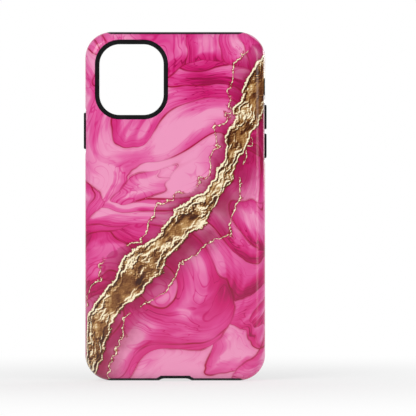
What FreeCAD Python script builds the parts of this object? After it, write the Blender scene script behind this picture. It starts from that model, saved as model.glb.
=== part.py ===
# Two-layer tough phone case: a hard glossy outer shell over a rubbery inner liner,
# with three flexing button covers. Millimetres, +Z up along the case, +X to the right
# when looking at the printed back, -Y out of the printed back, +Y out of the open front.
# The origin is the middle of the lowest edge. A depth is measured from the printed back,
# a drop from the top edge, and a reach from the middle plane of the case.
import FreeCAD, Part
import math
import os
import re

import Sketcher

SIZES = {
    # the handset that the case is made for
    "phone_width": 75.7,
    "phone_length": 150.9,
    "phone_depth": 8.3,
    "phone_corner": 9.3,
    "phone_clearance": 0.1,
    # the two walls round it
    "liner_wall": 1.05,
    "liner_back": 0.95,
    "seat_gap": 0.05,
    "shell_wall": 1.1,
    "pocket_edge": 3.1,
    "front_round": 2.9,
    "shell_curl": 4.0,
    # the raised lip in front of the screen
    "lip_height": 0.9,
    "lip_overhang": 1.1,
    "lip_band": 0.9,
    # the shell's top and bottom walls are cut away between the corners
    "trim_depth": 2.15,
    "trim_half_width": 29.3,
    "trim_run": 4.2,
    "trim_foot_round": 2.0,
    "trim_corner_round": 6.0,
    "trim_gap": 0.12,
    # the camera opening and the liner's rim round it
    "camera_width": 28.6,
    "camera_length": 31.5,
    "camera_corner": 9.0,
    "camera_inset": 20.75,
    "camera_drop": 21.38,
    "rim_width": 1.85,
    "rim_sink": 0.05,
    "rim_gap": 0.1,
    "rim_round": 0.35,
    "window_round": 0.3,
    # the opening over the ring switch
    "switch_length": 7.9,
    "switch_width": 5.8,
    "switch_corner": 1.0,
    "switch_drop": 24.45,
    "switch_depth": 5.7,
    "switch_rim": 0.4,
    "switch_sink": 0.2,
    # the button covers and the slots that they stand in
    "key_depth": 5.9,
    "key_proud": 0.65,
    "key_width": 3.2,
    "key_corner": 1.45,
    "key_round": 0.5,
    "key_base_width": 3.7,
    "key_base_corner": 1.75,
    "key_base_sink": 0.25,
    "key_base_margin": 0.8,
    "key_lift": 0.6,
    "key_gap": 0.15,
    "volume_key_length": 10.9,
    "volume_key_spread": 12.85,
    "volume_slot_length": 26.0,
    "volume_middle_drop": 44.35,
    "volume_bridge": 1.5,
    "waist_length": 4.2,
    "waist_width": 3.45,
    "side_key_length": 16.2,
    "side_key_drop": 44.1,
    # the thin webs that carry the button covers
    "web_width": 0.5,
    "web_thickness": 0.3,
    "web_rise": 0.45,
    "web_inset": 0.1,
    # the flat finger scoops in the shell beside the buttons
    "scoop_depth": 0.42,
    "scoop_run": 1.6,
    # the openings in the bottom edge
    "port_width": 14.6,
    "port_back": 2.3,
    "port_front": 10.4,
    "port_corner": 2.7,
    "relief_depth": 1.0,
    "relief_half_width": 6.5,
    "relief_run": 1.8,
    "speaker_width": 12.0,
    "speaker_height": 2.8,
    "speaker_corner": 1.3,
    "speaker_side": 16.6,
}

doc = FreeCAD.newDocument("phone_case")
sheet = doc.addObject("Spreadsheet::Sheet", "sizes")
for row, (name, size) in enumerate(SIZES.items(), start=1):
    sheet.set(f"A{row}", name)
    sheet.set(f"B{row}", str(size))
    sheet.setAlias(f"B{row}", name)
doc.recompute()


def worked_out(formula):
    """A formula in the sheet's names, made ready to bind and set in brackets."""

    def with_sheet(found):
        return f"sizes.{found[0]}" if found[0] in SIZES else found[0]

    return "(" + re.sub(r"(?<![.\w])[a-z_]+\b", with_sheet, formula) + ")"


SIDE = worked_out("phone_clearance + liner_wall + seat_gap + shell_wall")
BEHIND = worked_out("liner_back + seat_gap + shell_wall")
WIDTH = worked_out(f"phone_width + 2 * {SIDE}")
LENGTH = worked_out(f"phone_length + 2 * {SIDE}")
DEPTH = worked_out(f"{BEHIND} + phone_depth + phone_clearance + lip_height")
CORNER = worked_out(f"phone_corner + {SIDE}")
BACK_ROUND = worked_out(f"pocket_edge + {SIDE}")
SEAT = worked_out("shell_wall + seat_gap")
REACH = worked_out(f"{WIDTH} / 2")
POCKET_REACH = worked_out(f"{REACH} - {SIDE} + phone_clearance")
SHELL_FRONT = worked_out(f"{DEPTH} - lip_band")
CURL_START = worked_out(f"{DEPTH} - front_round")
PAST = "2"
HAIR = 0.01
MOUTH_MARGIN = 1.0

probe = doc.addObject("App::FeaturePython", "probe")


def value(formula):
    return float(probe.evalExpression(worked_out(formula)))


def at_depth(depth):
    return worked_out(f"{depth} - {DEPTH} / 2")


def dropped(drop):
    return worked_out(f"{LENGTH} - {drop}")


def new_body(label):
    body = doc.addObject("PartDesign::Body", label)
    body.Label = label
    return body


def new_sketch(body, name, role, offset):
    """An empty sketch on one of its body's origin planes, moved along the normal."""
    plane = next(item for item in body.Origin.OriginFeatures if item.Role == role)
    sketch = body.newObject("Sketcher::SketchObject", name)
    sketch.AttachmentSupport = [(plane, "")]
    sketch.MapMode = "FlatFace"
    sketch.setExpression("AttachmentOffset.Base.z", worked_out(offset))
    return sketch


def bind(sketch, name, kind, ends, formula):
    """One driving constraint, tied to its formula."""
    index = sketch.addConstraint(Sketcher.Constraint(kind, *ends, value(formula)))
    sketch.renameConstraint(index, name)
    sketch.setExpression(f"Constraints.{name}", worked_out(formula))


def rounded_sketch(body, name, role, offset, middle, size, corner):
    """A closed rounded rectangle: four lines joined by four tangent arcs."""
    sketch = new_sketch(body, name, role, offset)
    mid_u, mid_v = value(middle[0]), value(middle[1])
    half_u, half_v = value(size[0]) / 2, value(size[1]) / 2
    radius = value(corner)
    flat_u, flat_v = half_u - radius, half_v - radius
    runs = [
        (-flat_u, -half_v, flat_u, -half_v),
        (half_u, -flat_v, half_u, flat_v),
        (flat_u, half_v, -flat_u, half_v),
        (-half_u, flat_v, -half_u, -flat_v),
    ]
    for u1, v1, u2, v2 in runs:
        start = FreeCAD.Vector(mid_u + u1, mid_v + v1, 0)
        stop = FreeCAD.Vector(mid_u + u2, mid_v + v2, 0)
        sketch.addGeometry(Part.LineSegment(start, stop))
    for turn, (side_u, side_v) in enumerate([(1, -1), (1, 1), (-1, 1), (-1, -1)]):
        centre = FreeCAD.Vector(mid_u + side_u * flat_u, mid_v + side_v * flat_v, 0)
        circle = Part.Circle(centre, FreeCAD.Vector(0, 0, 1), radius)
        begin = math.radians(90 * turn - 90)
        sketch.addGeometry(Part.ArcOfCircle(circle, begin, begin + math.pi / 2))
    for side in range(4):
        arc = side + 4
        sketch.addConstraint(Sketcher.Constraint("Tangent", side, 2, arc, 1))
        sketch.addConstraint(Sketcher.Constraint("Tangent", arc, 2, (side + 1) % 4, 1))
        flat = "Vertical" if side % 2 else "Horizontal"
        sketch.addConstraint(Sketcher.Constraint(flat, side))
    for arc in (5, 6, 7):
        sketch.addConstraint(Sketcher.Constraint("Equal", 4, arc))
    bind(sketch, "corner", "Radius", (4,), corner)
    bind(sketch, "wide", "DistanceX", (3, 1, 1, 1), size[0])
    bind(sketch, "tall", "DistanceY", (0, 1, 2, 1), size[1])
    bind(sketch, "left", "DistanceX", (-1, 1, 3, 1), f"{middle[0]} - {size[0]} / 2")
    bind(sketch, "low", "DistanceY", (-1, 1, 0, 1), f"{middle[1]} - {size[1]} / 2")
    return sketch


def straight_sketch(body, name, role, offset, corners):
    """A closed run of straight lines through corners given as formulas."""
    sketch = new_sketch(body, name, role, offset)
    spots = [FreeCAD.Vector(value(u), value(v), 0) for u, v in corners]
    for start, stop in zip(spots, spots[1:] + spots[:1]):
        sketch.addGeometry(Part.LineSegment(start, stop))
    count = len(corners)
    for line in range(count):
        meet = Sketcher.Constraint("Coincident", line, 2, (line + 1) % count, 1)
        sketch.addConstraint(meet)
    for line, (u, v) in enumerate(corners):
        bind(sketch, f"across_{line}", "DistanceX", (-1, 1, line, 1), u)
        bind(sketch, f"along_{line}", "DistanceY", (-1, 1, line, 1), v)
    return sketch


def pad(body, sketch, length, turned=False):
    feature = body.newObject("PartDesign::Pad", f"{sketch.Name}_pad")
    feature.Profile = sketch
    feature.Reversed = turned
    feature.setExpression("Length", worked_out(length))
    doc.recompute()
    return feature


def pocket_through(body, sketch, name):
    """Cut a sketch's outline right through what the body holds, both ways."""
    before = body.Shape.Volume
    feature = body.newObject("PartDesign::Pocket", name)
    feature.Profile = sketch
    feature.Type = "ThroughAll"
    feature.Midplane = True
    doc.recompute()
    if not feature.Shape.Volume < before:
        raise RuntimeError(f"{name} cuts nothing")
    return feature


def level_edges(shape, axis, level):
    """Names of the edges that lie at one height along an axis."""
    names = []
    for number, edge in enumerate(shape.Edges, start=1):
        box = edge.BoundBox
        low = getattr(box, f"{axis}Min")
        high = getattr(box, f"{axis}Max")
        if abs(low - level) < HAIR and abs(high - level) < HAIR:
            names.append(f"Edge{number}")
    return names


def window_mouth(shape, middle, size):
    """Names of the edges round a window's mouth in the printed back."""
    mid_x, mid_z = value(middle[0]), value(middle[1])
    half_x, half_z = (value(length) / 2 + MOUTH_MARGIN for length in size)
    inner_face = value(at_depth("shell_wall")) - HAIR
    names = []
    for number, edge in enumerate(shape.Edges, start=1):
        spot = edge.CenterOfMass
        beside = abs(spot.x - mid_x) < half_x and abs(spot.z - mid_z) < half_z
        if beside and edge.BoundBox.YMax < inner_face:
            names.append(f"Edge{number}")
    return names


def rounded(body, feature, names, radius):
    result = body.newObject("PartDesign::Fillet", f"{feature.Name}_round")
    result.Base = (feature, names)
    result.setExpression("Radius", worked_out(radius))
    doc.recompute()
    return result


def slab(label, inset, back, front, back_round=None, front_round=None):
    """The case's outline drawn in by an inset, between two depths, its edges rounded."""
    body = new_body(label)
    size = f"({WIDTH} - 2 * {inset})", f"({LENGTH} - 2 * {inset})"
    middle = "0", f"({LENGTH} / 2)"
    sketch = rounded_sketch(
        body, f"{label}_outline", "XZ_Plane", f"{DEPTH} / 2 - {back}",
        middle, size, f"({CORNER} - {inset})",
    )
    feature = pad(body, sketch, f"{front} - {back}", turned=True)
    for depth, radius in ((back, back_round), (front, front_round)):
        if radius:
            names = level_edges(feature.Shape, "Y", value(at_depth(depth)))
            feature = rounded(body, feature, names, radius)
    return body


def back_block(label, middle, size, corner, back, front):
    """A rounded block seen from the back, between two depths."""
    body = new_body(label)
    sketch = rounded_sketch(
        body, f"{label}_outline", "XZ_Plane", f"{DEPTH} / 2 - {back}",
        middle, size, corner,
    )
    pad(body, sketch, f"{front} - {back}", turned=True)
    return body


def side_block(label, side, middle, size, corner, inner, outer):
    """A rounded block on one side, +1 or -1, from one reach to another."""
    body = new_body(label)
    sketch = rounded_sketch(
        body, f"{label}_outline", "YZ_Plane", f"{side} * {inner}",
        middle, size, corner,
    )
    pad(body, sketch, f"{outer} - {inner}", turned=side < 0)
    return body


def bottom_block(label, middle, size, corner):
    """A rounded block seen from below, through the bottom walls."""
    body = new_body(label)
    sketch = rounded_sketch(
        body, f"{label}_outline", "XY_Plane", f"0 - {PAST}", middle, size, corner,
    )
    pad(body, sketch, f"{BACK_ROUND} + {PAST}")
    return body


def fused(label, pieces):
    result = doc.addObject("Part::MultiFuse", label)
    result.Shapes = pieces
    result.Refine = False
    doc.recompute()
    return result


def cut(label, base, tools):
    result = doc.addObject("Part::Cut", label)
    result.Base = base
    result.Tool = fused(f"{label}_tools", tools)
    result.Refine = False
    result.Label = label
    doc.recompute()
    return result


def trim_block(label, gap):
    """All that lies in front of the shell's front edge: the whole width near the front,
    and down to the trim depth between the corners."""
    rise = f"({SHELL_FRONT} - trim_depth)"
    slope = f"sqrt(trim_run ^ 2 + {rise} ^ 2)"
    drawn_in = f"{gap} * ({slope} - trim_run) / {rise}"
    foot_x = f"(trim_half_width - {drawn_in})"
    shoulder_x = f"(trim_half_width + trim_run - {drawn_in})"
    far_x = f"({REACH} + {PAST})"
    foot_y = at_depth(f"trim_depth + {gap}")
    shoulder_y = at_depth(f"{SHELL_FRONT} + {gap}")
    far_y = at_depth(f"{DEPTH} + {PAST}")
    corners = [
        (f"0 - {foot_x}", foot_y), (foot_x, foot_y),
        (shoulder_x, shoulder_y), (far_x, shoulder_y),
        (far_x, far_y), (f"0 - {far_x}", far_y),
        (f"0 - {far_x}", shoulder_y), (f"0 - {shoulder_x}", shoulder_y),
    ]
    body = new_body(label)
    sketch = straight_sketch(body, f"{label}_outline", "XY_Plane", f"0 - {PAST}", corners)
    feature = pad(body, sketch, f"{LENGTH} + 2 * {PAST}")
    rounds = (
        (foot_x, foot_y, f"trim_foot_round - {gap}"),
        (shoulder_x, shoulder_y, f"trim_corner_round + {gap}"),
    )
    for x, y, radius in rounds:
        here = level_edges(feature.Shape, "Y", value(y))
        right = level_edges(feature.Shape, "X", value(x))
        left = level_edges(feature.Shape, "X", -value(x))
        names = [name for name in here if name in right + left]
        feature = rounded(body, feature, names, radius)
    return body


def relief_block(label, gap):
    """The shallow dip in the shell's edge beside the charging port."""
    rise = "(trim_depth - relief_depth)"
    low_x = f"(relief_half_width - {gap})"
    high_x = f"({low_x} + 2 * relief_run)"
    low_y = at_depth(f"relief_depth + {gap}")
    high_y = at_depth(f"relief_depth + {gap} + 2 * {rise}")
    corners = [
        (f"0 - {low_x}", low_y), (low_x, low_y), (high_x, high_y), (f"0 - {high_x}", high_y),
    ]
    body = new_body(label)
    sketch = straight_sketch(body, f"{label}_outline", "XY_Plane", f"0 - {PAST}", corners)
    pad(body, sketch, f"{BACK_ROUND} + {PAST}")
    return body


def scoop_block(label, side, middle_z, slot_length):
    """A flat shaved off the shell's side, wider than the slot, with sloping ends."""
    inner_x = f"({side} * ({REACH} - scoop_depth))"
    outer_x = f"({side} * ({REACH} + {PAST}))"
    spread = f"scoop_run * ({PAST} + scoop_depth) / scoop_depth"
    low_z, high_z = f"({middle_z} - {slot_length} / 2)", f"({middle_z} + {slot_length} / 2)"
    corners = [
        (inner_x, low_z), (outer_x, f"{low_z} - {spread}"),
        (outer_x, f"{high_z} + {spread}"), (inner_x, high_z),
    ]
    body = new_body(label)
    back = f"{DEPTH} / 2 + {PAST}"
    sketch = straight_sketch(body, f"{label}_outline", "XZ_Plane", back, corners)
    pad(body, sketch, f"{DEPTH} + 2 * {PAST}", turned=True)
    return body


# Places that several pieces share
CAMERA = f"(camera_inset - {REACH})", dropped("camera_drop")
RIM_SIZE = "(camera_width + 2 * rim_width)", "(camera_length + 2 * rim_width)"
RIM_CORNER = "(camera_corner + rim_width)"
SWITCH = at_depth("switch_depth"), dropped("switch_drop")
SWITCH_RIM = "(switch_width - 2 * rim_gap)", "(switch_length - 2 * rim_gap)"
KEY_Y = at_depth("key_depth")
VOLUME_Z = dropped("volume_middle_drop")
VOLUME_BASE = "((volume_slot_length - volume_bridge) / 2 - key_gap)"
SIDE_BASE = "(side_key_length + 2 * key_base_margin)"
SLOT_WIDTH = "(key_base_width + 2 * key_gap)"
SLOT_CORNER = "(key_base_corner + key_gap)"
KEYS = {
    "volume_up": (
        1, f"({VOLUME_Z} + volume_bridge / 2 + {VOLUME_BASE} / 2)", VOLUME_BASE,
        f"({VOLUME_Z} + volume_key_spread / 2)", "volume_key_length",
    ),
    "volume_down": (
        1, f"({VOLUME_Z} - volume_bridge / 2 - {VOLUME_BASE} / 2)", VOLUME_BASE,
        f"({VOLUME_Z} - volume_key_spread / 2)", "volume_key_length",
    ),
    "side": (
        -1, dropped("side_key_drop"), SIDE_BASE, dropped("side_key_drop"), "side_key_length",
    ),
}

# The whole outside of the case, shared by the shell and the liner
envelope = slab("envelope", "0", "0", DEPTH, BACK_ROUND, "front_round")

# Hard outer shell
shell_cuts = [
    slab(
        "shell_hollow", "shell_wall", "shell_wall", f"({CURL_START} + shell_curl)",
        f"({BACK_ROUND} - shell_wall)", "shell_curl",
    ),
    trim_block("shell_trim", "0"),
    relief_block("shell_relief", "0"),
    back_block(
        "shell_camera_window", CAMERA,
        (f"({RIM_SIZE[0]} + 2 * rim_gap)", f"({RIM_SIZE[1]} + 2 * rim_gap)"),
        f"({RIM_CORNER} + rim_gap)", f"(0 - {PAST})", f"({BEHIND} + {PAST})",
    ),
    side_block(
        "shell_switch_window", 1, SWITCH, ("switch_width", "switch_length"),
        "switch_corner", f"({REACH} - {SIDE})", f"({REACH} + {PAST})",
    ),
    side_block(
        "shell_slot_waist", 1, (KEY_Y, VOLUME_Z), ("waist_width", "waist_length"),
        "key_gap", f"({REACH} - {SIDE})", f"({REACH} + {PAST})",
    ),
    scoop_block("volume_scoop", 1, VOLUME_Z, "volume_slot_length"),
    scoop_block("side_scoop", -1, dropped("side_key_drop"), f"({SIDE_BASE} + 2 * key_gap)"),
]
for name, (side, base_z, base_length, key_z, key_length) in KEYS.items():
    slot = side_block(
        f"shell_{name}_slot", side, (KEY_Y, base_z),
        (SLOT_WIDTH, f"({base_length} + 2 * key_gap)"), SLOT_CORNER,
        f"({REACH} - {SIDE})", f"({REACH} + {PAST})",
    )
    shell_cuts.append(slot)
shell_form = cut("shell_form", envelope, shell_cuts)
outer_shell = new_body("outer_shell")
outer_shell.BaseFeature = shell_form
doc.recompute()
mouth_edges = window_mouth(shell_form.Shape, CAMERA, RIM_SIZE)
rounded(outer_shell, outer_shell.Tip, mouth_edges, "window_round")

# Rubbery inner liner: what seats inside the shell, and what fills its cut edges flush
liner_bulk = [
    slab(
        "liner_seat", SEAT, SEAT, f"({CURL_START} + shell_curl - seat_gap)",
        f"({BACK_ROUND} - {SEAT})", "(shell_curl - seat_gap)",
    ),
    trim_block("liner_fill", "trim_gap"),
    relief_block("liner_relief", "trim_gap"),
]
liner_form = doc.addObject("Part::Common", "liner_form")
liner_form.Base = envelope
liner_form.Tool = fused("liner_bulk", liner_bulk)
doc.recompute()

key_windows = [
    side_block(
        f"liner_{name}_window", side, (KEY_Y, base_z),
        ("(key_base_width + 2 * web_width)", f"({base_length} + 2 * web_width)"),
        "(key_base_corner + web_width)",
        f"({POCKET_REACH} - {PAST})", f"({REACH} + {PAST})",
    )
    for name, (side, base_z, base_length, key_z, key_length) in KEYS.items()
]
liner_windowed = cut("liner_windowed", liner_form, key_windows)

camera_rim = back_block("camera_rim", CAMERA, RIM_SIZE, RIM_CORNER, "rim_sink", BEHIND)
rim_inner = rounded_sketch(
    camera_rim, "camera_rim_inner", "XZ_Plane", f"{DEPTH} / 2",
    CAMERA, ("camera_width", "camera_length"), "camera_corner",
)
rim_ring = pocket_through(camera_rim, rim_inner, "camera_rim_pocket")
rim_edges = level_edges(rim_ring.Shape, "Y", value(at_depth("rim_sink")))
rounded(camera_rim, rim_ring, rim_edges, "rim_round")

liner_added = [
    liner_windowed,
    camera_rim,
    side_block(
        "switch_surround", 1, SWITCH, SWITCH_RIM, "(switch_corner - rim_gap)",
        POCKET_REACH, f"({REACH} - switch_sink)",
    ),
    side_block(
        "volume_bridge_bar", 1, (KEY_Y, VOLUME_Z),
        ("(waist_width - 2 * key_gap)", "(volume_bridge - 2 * key_gap)"),
        "key_gap", f"({REACH} - {SEAT} - web_inset)", f"({REACH} - key_base_sink)",
    ),
]
liner_cuts = [
    slab(
        "phone_pocket", f"({SIDE} - phone_clearance)", BEHIND, f"({DEPTH} - lip_height)",
        "pocket_edge", "pocket_edge",
    ),
    slab(
        "lip_mouth", f"({SIDE} - phone_clearance + lip_overhang)",
        f"({DEPTH} - {PAST})", f"({DEPTH} + {PAST})",
    ),
    back_block(
        "liner_camera_window", CAMERA, ("camera_width", "camera_length"),
        "camera_corner", f"(0 - {PAST})", f"({BEHIND} + {PAST})",
    ),
    side_block(
        "liner_switch_window", 1, SWITCH,
        (f"({SWITCH_RIM[0]} - 2 * switch_rim)", f"({SWITCH_RIM[1]} - 2 * switch_rim)"),
        "(switch_corner - rim_gap - switch_rim)",
        f"({POCKET_REACH} - {PAST})", f"({REACH} + {PAST})",
    ),
    bottom_block(
        "port_hole", ("0", at_depth("(port_back + port_front) / 2")),
        ("port_width", "(port_front - port_back)"), "port_corner",
    ),
]
for number, side in (("left", -1), ("right", 1)):
    speaker = bottom_block(
        f"speaker_hole_{number}",
        (f"({side} * speaker_side)", at_depth("(port_back + port_front) / 2")),
        ("speaker_width", "speaker_height"), "speaker_corner",
    )
    liner_cuts.append(speaker)
inner_liner = cut("inner_liner", fused("liner_whole", liner_added), liner_cuts)


def key_piece(name, side, base_z, base_length, key_z, key_length):
    """A button cover: a base that fills the slot, and a raised bump to press."""
    inner = f"({REACH} - {SIDE} + key_lift)"
    body = new_body(f"{name}_button")
    base = rounded_sketch(
        body, f"{name}_base", "YZ_Plane", f"{side} * {inner}", (KEY_Y, base_z),
        ("key_base_width", base_length), "key_base_corner",
    )
    pad(body, base, f"{REACH} - key_base_sink - {inner}", turned=side < 0)
    bump = rounded_sketch(
        body, f"{name}_bump", "YZ_Plane", f"{side} * {inner}", (KEY_Y, key_z),
        ("key_width", key_length), "key_corner",
    )
    feature = pad(body, bump, f"{REACH} + key_proud - {inner}", turned=side < 0)
    names = level_edges(feature.Shape, "X", side * value(f"{REACH} + key_proud"))
    rounded(body, feature, names, "key_round")
    return body


def loft(body, kind, low, high, name):
    feature = body.newObject(f"PartDesign::{kind}", name)
    feature.Profile = low
    feature.Sections = [high]
    feature.Ruled = True
    doc.recompute()
    return feature


def web_piece(name, side, base_z, base_length):
    """The thin dished skin between a button cover and the edge of the liner's window."""
    body = new_body(f"{name}_web")
    middle = KEY_Y, base_z
    wide = "(key_base_width + 2 * web_width)", f"({base_length} + 2 * web_width)"
    tight = "(key_base_width + 2 * seat_gap)", f"({base_length} + 2 * seat_gap)"
    wide_corner, tight_corner = "(key_base_corner + web_width)", "(key_base_corner + seat_gap)"
    foot = f"({POCKET_REACH} + web_inset)"

    def ring(part, size, corner, reach):
        place = f"{side} * {reach}"
        return rounded_sketch(
            body, f"{name}_web_{part}", "YZ_Plane", place, middle, size, corner
        )

    pad(body, ring("foot", wide, wide_corner, foot), "web_thickness", turned=side < 0)
    outer_low = ring("outer_low", wide, wide_corner, f"({foot} + web_thickness)")
    outer_high = ring("outer_high", tight, tight_corner, f"({foot} + web_thickness + web_rise)")
    loft(body, "AdditiveLoft", outer_low, outer_high, f"{name}_web_skin")
    inner_low = ring("inner_low", wide, wide_corner, foot)
    inner_high = ring("inner_high", tight, tight_corner, f"({foot} + web_rise)")
    loft(body, "SubtractiveLoft", inner_low, inner_high, f"{name}_web_hollow")
    hole = ring("hole", tight, tight_corner, "0")
    pocket_through(body, hole, f"{name}_web_hole")
    return body


pieces = {"outer_shell": outer_shell, "inner_liner": inner_liner}
for name, (side, base_z, base_length, key_z, key_length) in KEYS.items():
    pieces[f"{name}_button"] = key_piece(name, side, base_z, base_length, key_z, key_length)
    pieces[f"{name}_web"] = web_piece(name, side, base_z, base_length)

doc.recompute()
for item in doc.Objects:
    if "Invalid" in item.State or "Error" in item.State:
        raise RuntimeError(f"{item.Label} failed: {item.State}")
os.makedirs("parts", exist_ok=True)
for label, piece in pieces.items():
    shape = piece.Shape
    if shape.isNull() or not shape.isValid():
        raise RuntimeError(f"{label} has no sound shape")
    if len(shape.Solids) != 1:
        raise RuntimeError(f"{label} has {len(shape.Solids)} solids")
    box = shape.BoundBox
    print(
        f"{label}: {shape.Volume:.1f} mm3, x {box.XMin:.2f} to {box.XMax:.2f}, "
        f"y {box.YMin:.2f} to {box.YMax:.2f}, z {box.ZMin:.2f} to {box.ZMax:.2f}"
    )
for label, piece in pieces.items():
    piece.Shape.exportStep(f"parts/{label}.step")
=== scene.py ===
import math

import bmesh
import bpy
from mathutils import Matrix, Vector


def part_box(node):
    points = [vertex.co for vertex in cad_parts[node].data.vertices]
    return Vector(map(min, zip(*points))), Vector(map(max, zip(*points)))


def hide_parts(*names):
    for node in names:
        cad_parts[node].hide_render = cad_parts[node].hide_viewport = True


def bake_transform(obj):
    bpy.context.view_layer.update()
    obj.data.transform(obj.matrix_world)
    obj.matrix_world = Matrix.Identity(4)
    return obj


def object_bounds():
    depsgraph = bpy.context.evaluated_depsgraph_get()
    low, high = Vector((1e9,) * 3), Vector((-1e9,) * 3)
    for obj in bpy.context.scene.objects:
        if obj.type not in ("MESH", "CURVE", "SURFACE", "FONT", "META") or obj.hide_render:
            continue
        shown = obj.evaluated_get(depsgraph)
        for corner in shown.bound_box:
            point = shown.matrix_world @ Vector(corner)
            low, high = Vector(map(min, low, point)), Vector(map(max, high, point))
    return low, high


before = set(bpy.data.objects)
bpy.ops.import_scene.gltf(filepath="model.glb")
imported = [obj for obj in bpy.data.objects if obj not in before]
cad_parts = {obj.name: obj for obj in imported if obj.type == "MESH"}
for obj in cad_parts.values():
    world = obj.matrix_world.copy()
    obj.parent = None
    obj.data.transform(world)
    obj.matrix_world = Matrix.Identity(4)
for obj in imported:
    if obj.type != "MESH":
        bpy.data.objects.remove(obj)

bl_info = {
    "name": "Two-layer phone case",
    "version": (1, 0, 0),
    "blender": (4, 5, 0),
    "location": "3D View > Sidebar > Phone case",
    "description": "Finishes the printed shell, rubbery liner and button covers of a phone case",
    "category": "Object",
}

MM = 0.001
CASE_LOW, CASE_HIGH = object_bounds()
SHELL_LOW, SHELL_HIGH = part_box("outer_shell")
COVERS = ("volume_up", "volume_down", "side")


def ink(red, green, blue):
    """A colour picked on a screen, in the linear values that shaders take."""

    def linear(level):
        level = level / 255
        if level <= 0.04045:
            return level / 12.92
        return ((level + 0.055) / 1.055) ** 2.4

    return tuple(linear(level) for level in (red, green, blue))


def colour_property(name, description, colour):
    return bpy.props.FloatVectorProperty(
        name=name, description=description, default=colour,
        subtype="COLOR", size=3, min=0.0, max=1.0,
    )


def length_property(name, description, millimetres):
    return bpy.props.FloatProperty(
        name=name, description=description, default=millimetres * MM,
        min=0.0, subtype="DISTANCE", unit="LENGTH",
    )


def share_property(name, description, share):
    return bpy.props.FloatProperty(
        name=name, description=description, default=share, min=0.0, max=1.0, subtype="FACTOR",
    )


class PrintSettings(bpy.types.PropertyGroup):
    """The print on the hard shell."""

    pale: colour_property("Pale ink", "The thinnest washes", ink(241, 154, 194))
    light: colour_property("Light ink", "Thin washes", ink(231, 105, 168))
    middle: colour_property("Middle ink", "The usual washes", ink(221, 62, 142))
    hot: colour_property("Hot ink", "The full washes", ink(206, 10, 108))
    deep: colour_property("Deep ink", "The darkest pools beside the vein", ink(156, 0, 70))
    fold: colour_property("Fold line", "What a dried edge lets through", ink(196, 44, 108))
    foil_shade: colour_property("Foil shade", "The shaded side of a crease", ink(58, 20, 2))
    foil_dark: colour_property("Dark foil", "Creases of the vein", ink(98, 48, 14))
    foil: colour_property("Foil", "The middle tone of the vein", ink(148, 98, 48))
    foil_light: colour_property("Light foil", "The lit side of a crease", ink(202, 160, 102))
    foil_glint: colour_property("Foil glint", "The brightest ridges", ink(255, 245, 212))
    veil_size: length_property("Veil size", "Size of the ink washes", 58)
    vein_width: length_property("Vein width", "Middle width of the gold vein", 10.5)
    gloss: share_property("Roughness", "Roughness of the glossy print", 0.16)


class LinerSettings(bpy.types.PropertyGroup):
    """The rubbery liner with its lip, rim and webs."""

    black: colour_property("Liner black", "Colour of the liner", ink(17, 18, 19))
    worn: colour_property("Rubbed black", "Where the liner has been handled", ink(27, 28, 29))
    grain: length_property("Grain", "Size of the moulded grain", 0.35)
    roughness: share_property("Roughness", "Roughness of the liner", 0.5)
    web_wall: length_property("Web wall", "Thickness of the webs", 0.26)


class CoverSettings(bpy.types.PropertyGroup):
    """The button covers."""

    black: colour_property("Cover black", "Colour of the button covers", ink(14, 15, 16))
    worn: colour_property("Rubbed black", "Where fingers press", ink(24, 25, 26))
    grain: length_property("Grain", "Size of the matt grain", 0.22)
    roughness: share_property("Roughness", "Roughness of the covers", 0.58)


class StageSettings(bpy.types.PropertyGroup):
    """The floor, the lamps and the camera."""

    floor: colour_property("Floor", "Colour of the floor", (0.9, 0.9, 0.9))
    floor_size: length_property("Floor size", "Width of the floor", 6000)
    lens: bpy.props.FloatProperty(
        name="Lens", description="Focal length in millimetres", default=300, min=20,
    )
    framed: length_property("Framed width", "Width of the picture at the case", 185.8)
    aside: length_property("Camera aside", "How far right of the case the camera stands", 14.65)
    lowered: length_property("Camera lowered", "How far below the middle it stands", 0.8)
    sky: share_property("Sky", "Strength of the light from all round", 0.55)


class Signal:
    """A number that varies over a surface. Signals add up and multiply as numbers do."""

    def __init__(self, recipe, socket):
        self.recipe = recipe
        self.socket = socket

    def __add__(self, other):
        return self.recipe.math("ADD", self, other)

    def __radd__(self, other):
        return self.recipe.math("ADD", other, self)

    def __sub__(self, other):
        return self.recipe.math("SUBTRACT", self, other)

    def __rsub__(self, other):
        return self.recipe.math("SUBTRACT", other, self)

    def __mul__(self, other):
        return self.recipe.math("MULTIPLY", self, other)

    def __rmul__(self, other):
        return self.recipe.math("MULTIPLY", other, self)

    def __truediv__(self, other):
        return self.recipe.math("DIVIDE", self, other)

    def __abs__(self):
        return self.recipe.math("ABSOLUTE", self)


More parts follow.
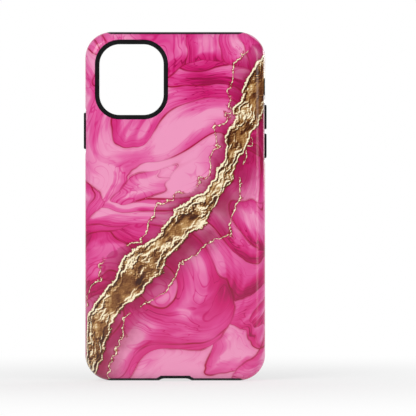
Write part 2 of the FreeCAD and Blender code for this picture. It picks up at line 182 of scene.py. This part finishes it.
class Recipe:
    """Adds nodes to one tree and hands back their results."""

    def __init__(self, tree):
        self.tree = tree

    def node(self, kind, **settings):
        made = self.tree.nodes.new(f"ShaderNode{kind}")
        for name, setting in settings.items():
            setattr(made, name, setting)
        return made

    def feed(self, socket, source):
        if isinstance(source, Signal):
            self.tree.links.new(source.socket, socket)
        elif isinstance(source, bpy.types.NodeSocket):
            self.tree.links.new(source, socket)
        else:
            socket.default_value = source

    def math(self, operation, *sources):
        made = self.node("Math", operation=operation)
        for socket, source in zip(made.inputs, sources):
            self.feed(socket, source)
        return Signal(self, made.outputs[0])

    def greatest(self, first, *others):
        for other in others:
            first = self.math("MAXIMUM", first, other)
        return first

    def least(self, first, second):
        return self.math("MINIMUM", first, second)

    def either(self, share, first, second):
        """The first number where the share is 0, and the second where it is 1."""
        return first + (second - first) * share

    def sharp(self, signal):
        """Noise turned into narrow ridges."""
        return 1 - abs(signal * 2 - 1) * 2.2

    def wave(self, signal):
        return self.math("SINE", signal)

    def fade(self, signal, low, high, bottom=0.0, top=1.0):
        """Bottom below low, top above high and a smooth change between."""
        made = self.node("MapRange", interpolation_type="SMOOTHSTEP")
        for name, source in (
            ("Value", signal), ("From Min", low), ("From Max", high),
            ("To Min", bottom), ("To Max", top),
        ):
            self.feed(made.inputs[name], source)
        return Signal(self, made.outputs["Result"])

    def parts(self, vector):
        made = self.node("SeparateXYZ")
        self.feed(made.inputs[0], vector)
        return [Signal(self, socket) for socket in made.outputs]

    def point(self, across, along, third=0.0):
        made = self.node("CombineXYZ")
        for socket, source in zip(made.inputs, (across, along, third)):
            self.feed(socket, source)
        return made.outputs[0]

    def vector(self, operation, first, second):
        made = self.node("VectorMath", operation=operation)
        self.feed(made.inputs[0], first)
        self.feed(made.inputs[1], second)
        return made.outputs["Vector"]

    def noise(self, spot, size, detail=2.0, rough=0.5, place=0.0, dimensions="2D"):
        """Cloudy noise with lumps of about that size. place picks another patch of it."""
        if place:
            spot = self.vector("ADD", spot, (place * size, -0.7 * place * size, 0))
        made = self.node("TexNoise", noise_dimensions=dimensions)
        self.feed(made.inputs["Vector"], spot)
        self.feed(made.inputs["Scale"], 1 / size)
        self.feed(made.inputs["Detail"], detail)
        self.feed(made.inputs["Roughness"], rough)
        return made

    def cloud(self, spot, size, **settings):
        made = self.noise(spot, size, **settings)
        return Signal(self, made.outputs["Fac"])

    def pushed(self, spot, size, reach, **settings):
        """The spot, pushed about by noise of that size, as far as reach."""
        made = self.noise(spot, size, **settings)
        centred = self.vector("SUBTRACT", made.outputs["Color"], (0.5, 0.5, 0.5))
        push = self.vector("MULTIPLY", centred, (2 * reach, 2 * reach, 0))
        return self.vector("ADD", spot, push)

    def blend(self, share, first, second, kind="MIX"):
        made = self.node("Mix", data_type="RGBA", blend_type=kind, clamp_factor=True)
        self.feed(made.inputs[0], share)
        for socket, source in ((made.inputs[6], first), (made.inputs[7], second)):
            if not isinstance(source, bpy.types.NodeSocket):
                source = (*source, 1.0)
            self.feed(socket, source)
        return made.outputs[2]

    def ramp(self, signal, stops):
        """A run of colours, each at its place from 0 to 1."""
        made = self.node("ValToRGB")
        steps = made.color_ramp.elements
        while len(steps) < len(stops):
            steps.new(1.0)
        for step, (place, colour) in zip(steps, stops):
            step.position = place
            step.color = (*colour, 1.0)
        self.feed(made.inputs[0], signal)
        return made.outputs[0]

    def bump(self, height, depth, strength=1.0):
        """Relief of that depth in metres."""
        made = self.node("Bump")
        self.feed(made.inputs["Height"], height)
        self.feed(made.inputs["Distance"], depth)
        self.feed(made.inputs["Strength"], strength)
        return made.outputs["Normal"]


def new_material(name):
    """An empty material with a surface shader: the material, its recipe and the shader."""
    material = bpy.data.materials.new(name)
    material.use_nodes = True
    material.node_tree.nodes.clear()
    recipe = Recipe(material.node_tree)
    shader = recipe.node("BsdfPrincipled")
    output = recipe.node("OutputMaterial")
    recipe.feed(output.inputs["Surface"], shader.outputs[0])
    return material, recipe, shader


def object_spot(recipe, scale=1.0):
    """A point of the piece, in millimetres by default."""
    place = recipe.node("TexCoord").outputs["Object"]
    stretch = scale / MM
    return recipe.vector("MULTIPLY", place, (stretch, stretch, stretch))


def flat_spot(recipe):
    """Where a point of the shell lies on the flat print, which is folded over the edges.
    Millimetres across and along, from the middle of the back."""
    corner = 11.6  # radius of the outline's corners
    ease = 3.2  # how gently the print turns over the rounded edge
    half_wide = SHELL_HIGH[0] / MM
    half_long = (SHELL_HIGH[2] - SHELL_LOW[2]) / 2 / MM
    middle = (SHELL_HIGH[2] + SHELL_LOW[2]) / 2 / MM
    across, out, up = recipe.parts(object_spot(recipe))
    along = up - middle
    depth = out - SHELL_LOW[1] / MM
    over_side = recipe.greatest(abs(across) - (half_wide - corner), 0.0)
    over_end = recipe.greatest(abs(along) - (half_long - corner), 0.0)
    reach = recipe.math("SQRT", over_side * over_side + over_end * over_end + 0.001)
    folded = recipe.math("SQRT", depth * depth + ease * ease) - ease
    share = folded / reach
    return recipe.point(
        across + recipe.math("SIGN", across) * over_side * share,
        along + recipe.math("SIGN", along) * over_end * share,
    )


def spot_group(name, outputs):
    """An empty node group that takes a spot and gives back numbers."""
    tree = bpy.data.node_groups.new(name, "ShaderNodeTree")
    tree.interface.new_socket("Spot", in_out="INPUT", socket_type="NodeSocketVector")
    for output in outputs:
        tree.interface.new_socket(output, in_out="OUTPUT", socket_type="NodeSocketFloat")
    return tree, Recipe(tree), tree.nodes.new("NodeGroupInput").outputs[0]


def finish_group(tree, recipe, results):
    result = tree.nodes.new("NodeGroupOutput")
    for name, source in results.items():
        recipe.feed(result.inputs[name], source)
    return tree


def group_at(recipe, tree, spot):
    """What a node group gives at a spot, by name."""
    made = recipe.node("Group", node_tree=tree)
    recipe.feed(made.inputs["Spot"], spot)
    return {output.name: Signal(recipe, output) for output in made.outputs}


def vein_group(width):
    """How high the foil stands at a spot, how far it covers, how far away its edge is and
    to which side, and where ink shows beside its threads and between them and the vein."""
    outputs = ("Height", "Cover", "Away", "Side", "Beside", "Veiled")
    tree, recipe, spot = spot_group("gold vein", outputs)
    across, along, _ = recipe.parts(spot)

    # The vein falls from the upper right to the lower left
    middle_across, middle_along = 1, -8
    lean_across, lean_along = 0.56, 0.828
    across = across - middle_across
    along = along - middle_along
    run = across * lean_across + along * lean_along
    aside = across * lean_along - along * lean_across
    ragged = recipe.cloud(spot, 8, detail=6, rough=0.66, place=3.1)
    slow = recipe.cloud(spot, 48, detail=1, place=7.3)
    centre = recipe.wave(run / 19 + 0.6) * 4.2 + (slow - 0.5) * 16
    aside = aside - centre + (ragged - 0.5) * 8
    swell = recipe.cloud(recipe.point(run, 0), 26, detail=2, place=5.2)
    half = width / 2 * (0.3 + 1.45 * swell)
    beyond = abs(aside) - half
    cover = recipe.fade(beyond, 0.12, -0.12)

    # Crumpled in places and sandy between them, with raised lips along both edges
    streak = recipe.pushed(recipe.point(run * 0.45, aside), 6, 2.8, detail=2)
    crease = recipe.sharp(recipe.cloud(streak, 5.5, detail=4, rough=0.58, place=2.2))
    grain = recipe.cloud(spot, 0.7, detail=3, rough=0.72)
    crumpled = recipe.fade(recipe.cloud(spot, 13, detail=1.5, place=6.6), 0.44, 0.58)
    lip = recipe.fade(abs(beyond + 0.75), 0.8, 0.1)
    second = (recipe.cloud(spot, 7, detail=2, place=9.1) - 0.3) * 7
    inner_lip = recipe.fade(abs(beyond + 1.5 + second), 0.7, 0.05)
    body = 0.4 + (0.35 + 1.5 * crumpled) * crease + (0.45 + 0.45 * crumpled) * grain
    body = body + 1.15 * lip + (0.3 + 0.8 * crumpled) * inner_lip

    # Threads of foil follow the vein at some distance, on both sides
    threads = []
    shades = []
    veils = []
    for side, place, gap in ((1, 11.7, 11), (-1, 17.9, 8)):
        wander = recipe.cloud(recipe.point(run, side * 40), 23, detail=2, place=place)
        wiggle = recipe.cloud(spot, 5, detail=2.5, rough=0.55, place=place + 2)
        off = side * aside - half - 1.0 - (wander - 0.28) * 2 * gap + (wiggle - 0.5) * 5
        bead = recipe.cloud(spot, 1.5, detail=2, place=place)
        kept = recipe.fade(recipe.cloud(spot, 19, detail=1, place=place + 4), 0.36, 0.42)
        threads.append(recipe.fade(abs(off) - (bead - 0.32) * 1.1, 0.12, -0.08) * kept)
        shades.append(recipe.fade(abs(off), 1.1, 0.3) * kept)
        veils.append(recipe.fade(off, 0.4, -0.4) * recipe.fade(side * aside, 0, 1))
    thread = recipe.greatest(*threads)
    return finish_group(tree, recipe, {
        "Height": recipe.greatest(body * cover, thread * (0.5 + 1.2 * grain)),
        "Cover": recipe.greatest(cover, thread),
        "Away": beyond,
        "Side": aside,
        "Beside": recipe.greatest(*shades),
        "Veiled": recipe.greatest(*veils),
    })


def wash_group(size):
    """Two ink washes that run in long folds, counted in folds, and a third number that
    rises through 0 where the upper wash starts to lie over the lower one."""
    tree, recipe, spot = spot_group("ink washes", ("Lower", "Upper", "Over"))
    swirled = recipe.pushed(spot, size * 1.1, size * 0.62, detail=0.4, place=1.3)
    drifted = recipe.pushed(swirled, size * 0.3, size * 0.07, detail=1.5, place=3.3)
    across, along, _ = recipe.parts(drifted)
    lower = (0.5 * across + 0.86 * along) / (size * 0.42)
    upper = (0.9 * across - 0.45 * along) / (size * 0.5)
    return finish_group(tree, recipe, {
        "Lower": lower + recipe.cloud(drifted, size * 0.9, detail=0.3, place=6.3) * 3.5,
        "Upper": upper + recipe.cloud(drifted, size * 0.8, detail=0.3, place=2.7) * 3.5,
        "Over": recipe.cloud(drifted, size * 0.7, detail=0.7, place=9.3) * 5 - 2.55,
    })


def washes(recipe, spot, size):
    """The wash that shows at a spot, in millimetres: how far in it lies from the dried
    edge that it started at, how far off the next edge is, and its count of folds."""
    step = 0.5
    least_slope = 0.008
    tree = wash_group(size)
    here = group_at(recipe, tree, spot)
    right = group_at(recipe, tree, recipe.vector("ADD", spot, (step, 0, 0)))
    up = group_at(recipe, tree, recipe.vector("ADD", spot, (0, step, 0)))

    def steepness(name):
        rise = right[name] - here[name]
        climb = up[name] - here[name]
        slope = recipe.math("SQRT", rise * rise + climb * climb) / step
        return recipe.greatest(slope, least_slope)

    def reach(name):
        way = recipe.math("FRACT", here[name])
        steep = steepness(name)
        return way / steep, (1 - way) / steep

    lower_in, lower_next = reach("Lower")
    upper_in, upper_next = reach("Upper")
    rim = here["Over"] / steepness("Over")
    over = recipe.fade(rim, -0.06, 0.06)
    within = recipe.either(over, lower_in, recipe.least(upper_in, rim))
    ahead = recipe.either(over, recipe.least(lower_next, 0 - rim), upper_next)
    return within, ahead, recipe.either(over, here["Lower"], here["Upper"])


def print_colour(recipe, settings):
    """The colour of the print: pink ink washes and a creased gold vein."""
    spot = flat_spot(recipe)
    size = settings.veil_size / MM
    within, ahead, folds = washes(recipe, spot, size)

    # Each wash is full at its dried edge, thins out inwards and has silky streaks
    mottle = recipe.cloud(spot, 19, detail=2, place=3.3)
    full = recipe.cloud(spot, size * 0.7, detail=1.2, place=12.5)
    slide = recipe.cloud(spot, 26, detail=1, place=15) * 0.35
    silk = recipe.cloud(recipe.point(folds, slide), 0.11, detail=2.5, place=4)
    silky = recipe.fade(recipe.cloud(spot, 34, detail=1, place=9), 0.38, 0.6)
    tone = recipe.fade(within, 0, 11) * 0.5 + (0.5 - full) * 1.5 + 0.3
    tone = tone + (mottle - 0.5) * 0.3 + (silk - 0.5) * (0.12 + 0.4 * silky)
    strand = recipe.cloud(recipe.point(folds, slide * 2), 0.16, detail=1, place=8)
    hair = recipe.fade(recipe.sharp(strand), 0.8, 0.98)
    tone = tone - hair * (0.09 + 0.16 * silky)
    colour = recipe.ramp(tone, [
        (0.0, settings.deep), (0.16, settings.hot), (0.42, settings.middle),
        (0.66, settings.light), (0.92, settings.pale),
    ])

    vein = vein_group(settings.vein_width / MM)
    here = group_at(recipe, vein, spot)
    lower_side = recipe.fade(here["Side"], -2, 2)
    pooled = recipe.fade(here["Away"], 5 + 12 * lower_side, 0) * recipe.fade(mottle, 0.25, 0.6)
    colour = recipe.blend(pooled * 0.92, colour, settings.deep)
    colour = recipe.blend(here["Veiled"] * 0.45, colour, settings.deep)

    # Fine lines where the ink dried, darkest where it was full
    edge = recipe.least(within, ahead)
    width = 0.1 + 0.42 * recipe.cloud(spot, 15, detail=2, place=7)
    strong = recipe.fade(recipe.cloud(spot, 21, detail=2, place=6), 0.38, 0.64)
    strong = recipe.greatest(strong, pooled)
    colour = recipe.blend(recipe.fade(edge, 1.8, 0) * 0.4 * strong, colour, settings.hot)
    line = recipe.fade(edge, width * 1.6, width * 0.5)
    colour = recipe.blend(line * (0.22 + 0.78 * strong), colour, settings.fold, "MULTIPLY")
    shadow = recipe.greatest(recipe.fade(here["Away"], 0.9, 0.1), here["Beside"])
    colour = recipe.blend(shadow * 0.9, colour, settings.fold, "MULTIPLY")

    # The foil's creases are drawn as if the light came from the upper left
    to_light = (-0.42, 0.4, 0)
    lit = group_at(recipe, vein, recipe.vector("ADD", spot, to_light))
    shade = recipe.cloud(spot, 9, detail=3, place=14)
    tone = (here["Height"] - lit["Height"]) * 0.78 + 0.48 + (shade - 0.5) * 1.9
    foil = recipe.ramp(tone, [
        (0.0, settings.foil_shade), (0.22, settings.foil_dark), (0.5, settings.foil),
        (0.74, settings.foil_light), (0.95, settings.foil_glint),
    ])
    return recipe.blend(here["Cover"], colour, foil)


def dress(node, material):
    """Gives a CAD node its material in place of the plain one."""
    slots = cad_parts[node].data.materials
    slots.clear()
    slots.append(material)


class PrintShell(bpy.types.Operator):
    """Prints and polishes the hard outer shell"""

    bl_idname = "phone_case.print_shell"
    bl_label = "Print the shell"

    def execute(self, context):
        settings = context.scene.case_print
        material, recipe, shader = new_material("printed_shell")
        recipe.feed(shader.inputs["Base Color"], print_colour(recipe, settings))
        spot = object_spot(recipe)
        smudge = recipe.cloud(spot, 14, detail=3, dimensions="3D")
        recipe.feed(shader.inputs["Roughness"], settings.gloss + (smudge - 0.5) * 0.08)
        recipe.feed(shader.inputs["IOR"], 1.5)
        peel = recipe.cloud(spot, 2.6, detail=1, dimensions="3D")
        recipe.feed(shader.inputs["Normal"], recipe.bump(peel, 0.002 * MM))
        dress("outer_shell", material)
        return {"FINISHED"}


def rubber(name, black, worn, grain, roughness):
    """Moulded rubber with a fine grain, a little paler where it is rubbed."""
    material, recipe, shader = new_material(name)
    spot = object_spot(recipe)
    rubbed = recipe.cloud(spot, 9, detail=4, rough=0.6, dimensions="3D")
    colour = recipe.blend(recipe.fade(rubbed, 0.45, 0.7), black, worn)
    recipe.feed(shader.inputs["Base Color"], colour)
    recipe.feed(shader.inputs["Roughness"], roughness + (rubbed - 0.5) * 0.25)
    recipe.feed(shader.inputs["Specular IOR Level"], 0.1)
    pits = recipe.node("TexVoronoi", feature="SMOOTH_F1")
    recipe.feed(pits.inputs["Vector"], spot)
    recipe.feed(pits.inputs["Scale"], 1 / grain)
    recipe.feed(pits.inputs["Smoothness"], 0.6)
    relief = Signal(recipe, pits.outputs["Distance"])
    recipe.feed(shader.inputs["Normal"], recipe.bump(relief, 0.02 * MM, 0.6))
    return material


class DressLiner(bpy.types.Operator):
    """Gives the liner its satin black rubber"""

    bl_idname = "phone_case.dress_liner"
    bl_label = "Dress the liner"

    def execute(self, context):
        settings = context.scene.case_liner
        material = rubber(
            "liner_rubber", settings.black, settings.worn, settings.grain / MM, settings.roughness,
        )
        dress("inner_liner", material)
        return {"FINISHED"}


class DressCovers(bpy.types.Operator):
    """Gives the button covers their matt black rubber"""

    bl_idname = "phone_case.dress_covers"
    bl_label = "Dress the button covers"

    def execute(self, context):
        settings = context.scene.case_covers
        material = rubber(
            "cover_rubber", settings.black, settings.worn, settings.grain / MM,
            settings.roughness,
        )
        for cover in COVERS:
            dress(f"{cover}_button", material)
        return {"FINISHED"}


def shaped_web(name, wall):
    """A dished skin in the place of a CAD web: a ring that rises and closes in."""
    low, high = (Vector(corner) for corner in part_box(name))
    foot_x, top_x = (low.x, high.x) if low.x > 0 else (high.x, low.x)
    middle = (low + high) / 2
    half_wide = (high.y - low.y) / 2
    half_long = (high.z - low.z) / 2
    flat_end = 0.1 * MM
    drawn_in = 0.42 * MM
    steps = 8
    corner = half_wide - flat_end
    bm = bmesh.new()
    turned = Matrix.Rotation(math.radians(90), 4, "Y")
    bmesh.ops.create_circle(bm, radius=corner, segments=48, matrix=turned)
    for vertex in bm.verts:
        vertex.co.y += math.copysign(half_wide - corner, vertex.co.y)
        vertex.co.z += math.copysign(half_long - corner, vertex.co.z)
        vertex.co.x = 0
    bmesh.ops.translate(bm, verts=bm.verts[:], vec=(foot_x, middle.y, middle.z))
    ring = bm.edges[:]
    before = 0.0
    for step in range(1, steps + 1):
        share = step / steps
        made = bmesh.ops.extrude_edge_only(bm, edges=ring)["geom"]
        ring = [item for item in made if isinstance(item, bmesh.types.BMEdge)]
        verts = [item for item in made if isinstance(item, bmesh.types.BMVert)]
        bmesh.ops.translate(bm, verts=verts, vec=((top_x - foot_x) / steps, 0, 0))
        inset = drawn_in * (1 - math.cos(math.pi * share)) / 2
        narrower = (half_wide - inset) / (half_wide - before)
        shorter = (half_long - inset) / (half_long - before)
        bmesh.ops.scale(
            bm, verts=verts, vec=(1, narrower, shorter),
            space=Matrix.Translation((0, -middle.y, -middle.z)),
        )
        before = inset
    bmesh.ops.recalc_face_normals(bm, faces=bm.faces[:])
    bmesh.ops.solidify(bm, geom=bm.faces[:], thickness=wall)
    bmesh.ops.recalc_face_normals(bm, faces=bm.faces[:])
    mesh = bpy.data.meshes.new(f"{name}_skin")
    bm.to_mesh(mesh)
    bm.free()
    for polygon in mesh.polygons:
        polygon.use_smooth = True
    skin = bpy.data.objects.new(f"{name}_skin", mesh)
    bpy.context.scene.collection.objects.link(skin)
    return skin, foot_x, top_x, middle


class ShapeWebs(bpy.types.Operator):
    """Moulds the thin webs that let the button covers move"""

    bl_idname = "phone_case.shape_webs"
    bl_label = "Shape the webs"

    def execute(self, context):
        settings = context.scene.case_liner
        material = bpy.data.materials["liner_rubber"]
        for cover in COVERS:
            web = f"{cover}_web"
            skin, foot_x, top_x, middle = shaped_web(web, settings.web_wall)
            skin.data.materials.append(material)
            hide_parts(web)
            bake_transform(skin)
        return {"FINISHED"}


def lamp(name, place, target, size, watts, glint=1.0):
    """A soft square lamp that points at a spot. glint is its share in highlights."""
    data = bpy.data.lights.new(name, "AREA")
    data.shape = "RECTANGLE"
    data.size, data.size_y = size
    data.energy = watts
    data.specular_factor = glint
    made = bpy.data.objects.new(name, data)
    bpy.context.scene.collection.objects.link(made)
    made.location = place
    made.rotation_euler = (Vector(target) - Vector(place)).to_track_quat("-Z", "Y").to_euler()


def lay_floor(settings):
    """A pale floor that fades to white away from the case and keeps its shadow."""
    bm = bmesh.new()
    bmesh.ops.create_grid(bm, x_segments=1, y_segments=1, size=settings.floor_size / 2)
    mesh = bpy.data.meshes.new("floor")
    bm.to_mesh(mesh)
    bm.free()
    floor = bpy.data.objects.new("floor", mesh)
    bpy.context.scene.collection.objects.link(floor)
    floor.location.z = CASE_LOW[2] - 0.05 * MM
    material, recipe, shader = new_material("floor_paint")
    recipe.feed(shader.inputs["Base Color"], (*settings.floor, 1.0))
    recipe.feed(shader.inputs["Roughness"], 0.9)
    white = recipe.node("Emission")
    away = recipe.node("VectorMath", operation="LENGTH")
    recipe.feed(away.inputs[0], recipe.node("TexCoord").outputs["Object"])
    distance = Signal(recipe, away.outputs["Value"])
    path = recipe.node("LightPath")
    rays = ("Is Camera Ray", "Is Glossy Ray", "Is Transmission Ray")
    seen = recipe.greatest(*(Signal(recipe, path.outputs[ray]) for ray in rays))
    mixed = recipe.node("MixShader")
    recipe.feed(mixed.inputs[0], recipe.fade(distance, 0.02, 0.3, bottom=0.6) * seen)
    recipe.feed(mixed.inputs[1], shader.outputs[0])
    recipe.feed(mixed.inputs[2], white.outputs[0])
    output = next(n for n in material.node_tree.nodes if n.type == "OUTPUT_MATERIAL")
    recipe.feed(output.inputs["Surface"], mixed.outputs[0])
    mesh.materials.append(material)


def hang_sky(strength):
    """Soft light from all round, seen as plain white, with less of it in reflections on
    the printed side."""
    world = bpy.data.worlds.new("soft_sky")
    world.use_nodes = True
    world.node_tree.nodes.clear()
    recipe = Recipe(world.node_tree)
    path = recipe.node("LightPath")
    direction = recipe.node("TexCoord").outputs["Generated"]
    behind = recipe.fade(recipe.parts(direction)[1], 0.4, 0.98, bottom=0.14)
    reflected = Signal(recipe, path.outputs["Is Glossy Ray"])
    through = Signal(recipe, path.outputs["Is Transmission Ray"])
    seen = recipe.greatest(Signal(recipe, path.outputs["Is Camera Ray"]), through)
    white = recipe.greatest(seen, reflected * behind)
    light = recipe.node("Background")
    recipe.feed(light.inputs["Color"], (1, 1, 1, 1))
    recipe.feed(light.inputs["Strength"], recipe.greatest(white, strength * (1 - reflected)))
    output = recipe.node("OutputWorld")
    recipe.feed(output.inputs["Surface"], light.outputs[0])
    bpy.context.scene.world = world


def set_camera(settings, middle):
    """A long lens that looks straight at the printed back."""
    data = bpy.data.cameras.new("camera")
    data.lens = settings.lens
    data.clip_end = 20
    camera = bpy.data.objects.new("camera", data)
    bpy.context.scene.collection.objects.link(camera)
    distance = settings.framed * settings.lens / data.sensor_width
    camera.location = middle + Vector((settings.aside, -distance, -settings.lowered))
    camera.rotation_euler = (math.radians(90), 0, 0)
    bpy.context.scene.camera = camera


class SetStage(bpy.types.Operator):
    """Lays the floor, hangs the lamps and sets up the camera"""

    bl_idname = "phone_case.set_stage"
    bl_label = "Set the stage"

    def execute(self, context):
        settings = context.scene.case_stage
        context.scene.view_settings.view_transform = "Standard"
        middle = Vector((0, 0, (CASE_LOW[2] + CASE_HIGH[2]) / 2))
        lay_floor(settings)
        hang_sky(settings.sky)
        lamp("key_lamp", (-0.55, -0.85, 0.55), middle, (0.5, 0.5), 4.2, glint=0.5)
        lamp("fill_lamp", (0.7, -0.75, 0.3), middle, (0.4, 0.6), 1.8, glint=0.25)
        lamp("back_lamp", (1.0, 0.9, 0.3), middle, (0.6, 0.4), 4.2)
        set_camera(settings, middle)
        return {"FINISHED"}


OPERATORS = (PrintShell, DressLiner, DressCovers, ShapeWebs, SetStage)
SETTINGS = (
    ("case_print", PrintSettings), ("case_liner", LinerSettings),
    ("case_covers", CoverSettings), ("case_stage", StageSettings),
)


class CasePanel(bpy.types.Panel):
    """The case's settings and steps"""

    bl_idname = "VIEW3D_PT_phone_case"
    bl_label = "Phone case"
    bl_space_type = "VIEW_3D"
    bl_region_type = "UI"
    bl_category = "Phone case"

    def draw(self, context):
        for operator in OPERATORS:
            self.layout.operator(operator.bl_idname)
        for name, group in SETTINGS:
            box = self.layout.box()
            box.label(text=group.__doc__)
            for setting in group.__annotations__:
                box.prop(getattr(context.scene, name), setting)


def register():
    for name, group in SETTINGS:
        bpy.utils.register_class(group)
        setattr(bpy.types.Scene, name, bpy.props.PointerProperty(type=group))
    for operator in OPERATORS:
        bpy.utils.register_class(operator)
    bpy.utils.register_class(CasePanel)


def unregister():
    bpy.utils.unregister_class(CasePanel)
    for operator in reversed(OPERATORS):
        bpy.utils.unregister_class(operator)
    for name, group in reversed(SETTINGS):
        delattr(bpy.types.Scene, name)
        bpy.utils.unregister_class(group)


def main():
    register()
    bpy.ops.phone_case.print_shell()
    bpy.ops.phone_case.dress_liner()
    bpy.ops.phone_case.dress_covers()
    bpy.ops.phone_case.shape_webs()
    bpy.ops.phone_case.set_stage()


if __name__ == "__main__":
    main()
